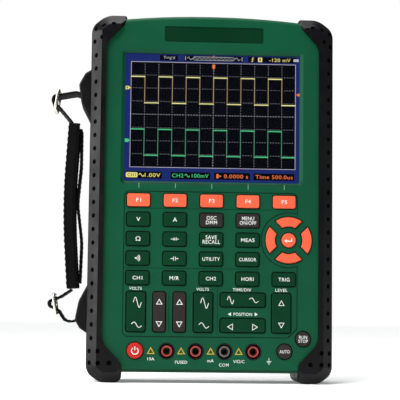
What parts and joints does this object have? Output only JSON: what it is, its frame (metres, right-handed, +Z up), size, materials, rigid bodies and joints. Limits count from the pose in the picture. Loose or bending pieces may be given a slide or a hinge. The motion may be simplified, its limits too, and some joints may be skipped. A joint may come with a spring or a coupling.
{
  "type": "handheld oscilloscope",
  "caption": "Handheld bench and field oscilloscope with built-in meter: upright housing, large display, key field, meter inputs, rubber side grips, side hand strap and rear stand.",
  "frame": {"origin": "centre of the footprint on the standing plane, between the feet of the two grips", "axes": "+Z up along the instrument's height, -Y out of its front, +X to the right as seen from the front"},
  "size_m": [0.1903, 0.052, 0.245],
  "materials": {
    "housing_green": "satin moulded plastic",
    "dark_plastic": "fine textured plastic",
    "grip_rubber": "soft-touch overmould with dimples",
    "window": "clear hard-coated pane",
    "display_panel": "lit display face in a metal tray",
    "mat_rubber": "translucent silicone",
    "board": "glass-epoxy board",
    "battery_wrap": "heat-shrink wrapped cells",
    "plated_metal": "nickel plated",
    "port_metal": "tin-plated shell",
    "contact_metal": "nickel flash over brass",
    "screw_metal": "zinc plated, dark",
    "webbing": "woven nylon",
    "pad_fabric": "woven sleeve over foam",
    "buckle_metal": "satin plated",
    "jack_shroud": "moulded insulation",
    "jack_red": "moulded insulation",
    "key_green": "satin",
    "key_orange": "satin",
    "key_grey": "satin",
    "key_red": "satin"
  },
  "bodies": {
    "instrument": {"front_case": "housing_green", "rear_case": "housing_green", "battery_cover": "housing_green", "left_grip": "grip_rubber", "right_grip": "grip_rubber", "strap_anchors": "dark_plastic", "display_window": "window", "lcd_module": "display_panel", "keypad_mat": "mat_rubber", "keypad_board": "board", "main_board": "board", "battery_pack": "battery_wrap", "bnc_sockets": "plated_metal", "side_ports": "port_metal", "jack_contacts": "contact_metal", "housing_screws": "screw_metal", "strap_webbing": "webbing", "strap_pad": "pad_fabric", "strap_buckles": "buckle_metal", "jack_housings": "jack_shroud", "jack_sleeves": "jack_red"},
    "stand": {"kickstand": "dark_plastic"},
    "port_flap": {"port_cover": "grip_rubber"},
    "f1_button": {"key_f1": "key_orange"},
    "f2_button": {"key_f2": "key_orange"},
    "f3_button": {"key_f3": "key_orange"},
    "f4_button": {"key_f4": "key_orange"},
    "f5_button": {"key_f5": "key_orange"},
    "volt_button": {"key_volt": "key_green"},
    "amp_button": {"key_amp": "key_green"},
    "scope_meter_button": {"key_scope_meter": "key_grey"},
    "menu_button": {"key_menu": "key_grey"},
    "ohm_button": {"key_ohm": "key_green"},
    "diode_button": {"key_diode": "key_green"},
    "save_recall_button": {"key_save_recall": "key_green"},
    "measure_button": {"key_measure": "key_green"},
    "continuity_button": {"key_continuity": "key_green"},
    "capacitance_button": {"key_capacitance": "key_green"},
    "utility_button": {"key_utility": "key_green"},
    "cursor_button": {"key_cursor": "key_green"},
    "channel_1_button": {"key_channel_1": "key_green"},
    "math_ref_button": {"key_math_ref": "key_green"},
    "channel_2_button": {"key_channel_2": "key_green"},
    "horizontal_button": {"key_horizontal": "key_green"},
    "trigger_button": {"key_trigger": "key_green"},
    "right_button": {"key_right": "key_orange"},
    "up_button": {"key_up": "key_orange"},
    "left_button": {"key_left": "key_orange"},
    "down_button": {"key_down": "key_orange"},
    "power_button": {"key_power": "key_red"},
    "auto_button": {"key_auto": "key_grey"},
    "run_stop_button": {"key_run_stop": "key_grey"},
    "enter_button": {"key_enter": "key_orange"},
    "channel_1_volts_rocker": {"rocker_channel_1_volts": "key_green"},
    "channel_1_position_rocker": {"rocker_channel_1_position": "key_grey"},
    "channel_2_position_rocker": {"rocker_channel_2_position": "key_grey"},
    "channel_2_volts_rocker": {"rocker_channel_2_volts": "key_green"},
    "trigger_level_rocker": {"rocker_trigger_level": "key_green"},
    "time_base_rocker": {"rocker_time_base": "key_green"},
    "time_position_rocker": {"rocker_time_position": "key_green"}
  },
  "joints": [
    {"name": "press_f1", "type": "slide", "parent": "instrument", "child": "f1_button", "axis": [0, 1, 0], "range_m": [0, 0.0008], "stiffness_N_per_m": 300},
    {"name": "press_f2", "type": "slide", "parent": "instrument", "child": "f2_button", "axis": [0, 1, 0], "range_m": [0, 0.0008], "stiffness_N_per_m": 300},
    {"name": "press_f3", "type": "slide", "parent": "instrument", "child": "f3_button", "axis": [0, 1, 0], "range_m": [0, 0.0008], "stiffness_N_per_m": 300},
    {"name": "press_f4", "type": "slide", "parent": "instrument", "child": "f4_button", "axis": [0, 1, 0], "range_m": [0, 0.0008], "stiffness_N_per_m": 300},
    {"name": "press_f5", "type": "slide", "parent": "instrument", "child": "f5_button", "axis": [0, 1, 0], "range_m": [0, 0.0008], "stiffness_N_per_m": 300},
    {"name": "press_volt", "type": "slide", "parent": "instrument", "child": "volt_button", "axis": [0, 1, 0], "range_m": [0, 0.0008], "stiffness_N_per_m": 300},
    {"name": "press_amp", "type": "slide", "parent": "instrument", "child": "amp_button", "axis": [0, 1, 0], "range_m": [0, 0.0008], "stiffness_N_per_m": 300},
    {"name": "press_scope_meter", "type": "slide", "parent": "instrument", "child": "scope_meter_button", "axis": [0, 1, 0], "range_m": [0, 0.0008], "stiffness_N_per_m": 300},
    {"name": "press_menu", "type": "slide", "parent": "instrument", "child": "menu_button", "axis": [0, 1, 0], "range_m": [0, 0.0008], "stiffness_N_per_m": 300},
    {"name": "press_ohm", "type": "slide", "parent": "instrument", "child": "ohm_button", "axis": [0, 1, 0], "range_m": [0, 0.0008], "stiffness_N_per_m": 300},
    {"name": "press_diode", "type": "slide", "parent": "instrument", "child": "diode_button", "axis": [0, 1, 0], "range_m": [0, 0.0008], "stiffness_N_per_m": 300},
    {"name": "press_save_recall", "type": "slide", "parent": "instrument", "child": "save_recall_button", "axis": [0, 1, 0], "range_m": [0, 0.0008], "stiffness_N_per_m": 300},
    {"name": "press_measure", "type": "slide", "parent": "instrument", "child": "measure_button", "axis": [0, 1, 0], "range_m": [0, 0.0008], "stiffness_N_per_m": 300},
    {"name": "press_continuity", "type": "slide", "parent": "instrument", "child": "continuity_button", "axis": [0, 1, 0], "range_m": [0, 0.0008], "stiffness_N_per_m": 300},
    {"name": "press_capacitance", "type": "slide", "parent": "instrument", "child": "capacitance_button", "axis": [0, 1, 0], "range_m": [0, 0.0008], "stiffness_N_per_m": 300},
    {"name": "press_utility", "type": "slide", "parent": "instrument", "child": "utility_button", "axis": [0, 1, 0], "range_m": [0, 0.0008], "stiffness_N_per_m": 300},
    {"name": "press_cursor", "type": "slide", "parent": "instrument", "child": "cursor_button", "axis": [0, 1, 0], "range_m": [0, 0.0008], "stiffness_N_per_m": 300},
    {"name": "press_channel_1", "type": "slide", "parent": "instrument", "child": "channel_1_button", "axis": [0, 1, 0], "range_m": [0, 0.0008], "stiffness_N_per_m": 300},
    {"name": "press_math_ref", "type": "slide", "parent": "instrument", "child": "math_ref_button", "axis": [0, 1, 0], "range_m": [0, 0.0008], "stiffness_N_per_m": 300},
    {"name": "press_channel_2", "type": "slide", "parent": "instrument", "child": "channel_2_button", "axis": [0, 1, 0], "range_m": [0, 0.0008], "stiffness_N_per_m": 300},
    {"name": "press_horizontal", "type": "slide", "parent": "instrument", "child": "horizontal_button", "axis": [0, 1, 0], "range_m": [0, 0.0008], "stiffness_N_per_m": 300},
    {"name": "press_trigger", "type": "slide", "parent": "instrument", "child": "trigger_button", "axis": [0, 1, 0], "range_m": [0, 0.0008], "stiffness_N_per_m": 300},
    {"name": "press_right", "type": "slide", "parent": "instrument", "child": "right_button", "axis": [0, 1, 0], "range_m": [0, 0.0008], "stiffness_N_per_m": 300},
    {"name": "press_up", "type": "slide", "parent": "instrument", "child": "up_button", "axis": [0, 1, 0], "range_m": [0, 0.0008], "stiffness_N_per_m": 300},
    {"name": "press_left", "type": "slide", "parent": "instrument", "child": "left_button", "axis": [0, 1, 0], "range_m": [0, 0.0008], "stiffness_N_per_m": 300},
    {"name": "press_down", "type": "slide", "parent": "instrument", "child": "down_button", "axis": [0, 1, 0], "range_m": [0, 0.0008], "stiffness_N_per_m": 300},
    {"name": "press_power", "type": "slide", "parent": "instrument", "child": "power_button", "axis": [0, 1, 0], "range_m": [0, 0.0008], "stiffness_N_per_m": 300},
    {"name": "press_auto", "type": "slide", "parent": "instrument", "child": "auto_button", "axis": [0, 1, 0], "range_m": [0, 0.0008], "stiffness_N_per_m": 300},
    {"name": "press_run_stop", "type": "slide", "parent": "instrument", "child": "run_stop_button", "axis": [0, 1, 0], "range_m": [0, 0.0008], "stiffness_N_per_m": 300},
    {"name": "press_enter", "type": "slide", "parent": "instrument", "child": "enter_button", "axis": [0, 1, 0], "range_m": [0, 0.0008], "stiffness_N_per_m": 300},
    {"name": "rock_channel_1_volts", "type": "hinge", "parent": "instrument", "child": "channel_1_volts_rocker", "pos_m": [-0.0491, -0.0199, 0.0466], "axis": [1, 0, 0], "range_deg": [-2.5, 2.5], "stiffness_Nm_per_rad": 0.02},
    {"name": "rock_channel_1_position", "type": "hinge", "parent": "instrument", "child": "channel_1_position_rocker", "pos_m": [-0.0338, -0.0199, 0.0466], "axis": [1, 0, 0], "range_deg": [-2.5, 2.5], "stiffness_Nm_per_rad": 0.02},
    {"name": "rock_channel_2_position", "type": "hinge", "parent": "instrument", "child": "channel_2_position_rocker", "pos_m": [-0.0205, -0.0199, 0.0466], "axis": [1, 0, 0], "range_deg": [-2.5, 2.5], "stiffness_Nm_per_rad": 0.02},
    {"name": "rock_channel_2_volts", "type": "hinge", "parent": "instrument", "child": "channel_2_volts_rocker", "pos_m": [-0.0049, -0.0199, 0.0466], "axis": [1, 0, 0], "range_deg": [-2.5, 2.5], "stiffness_Nm_per_rad": 0.02},
    {"name": "rock_trigger_level", "type": "hinge", "parent": "instrument", "child": "trigger_level_rocker", "pos_m": [0.0468, -0.0199, 0.0466], "axis": [1, 0, 0], "range_deg": [-2.5, 2.5], "stiffness_Nm_per_rad": 0.02},
    {"name": "rock_time_base", "type": "hinge", "parent": "instrument", "child": "time_base_rocker", "pos_m": [0.0213, -0.0199, 0.055], "axis": [0, 0, 1], "range_deg": [-2.5, 2.5], "stiffness_Nm_per_rad": 0.02},
    {"name": "rock_time_position", "type": "hinge", "parent": "instrument", "child": "time_position_rocker", "pos_m": [0.0213, -0.0199, 0.0382], "axis": [0, 0, 1], "range_deg": [-2.5, 2.5], "stiffness_Nm_per_rad": 0.02},
    {"name": "stand_hinge", "type": "hinge", "parent": "instrument", "child": "stand", "pos_m": [0, 0.0213, 0.141], "axis": [1, 0, 0], "range_deg": [0, 40]},
    {"name": "port_flap_hinge", "type": "hinge", "parent": "instrument", "child": "port_flap", "pos_m": [0.0804, 0.01145, 0.095], "axis": [0, 0, 1], "range_deg": [0, 105]}
  ]
}
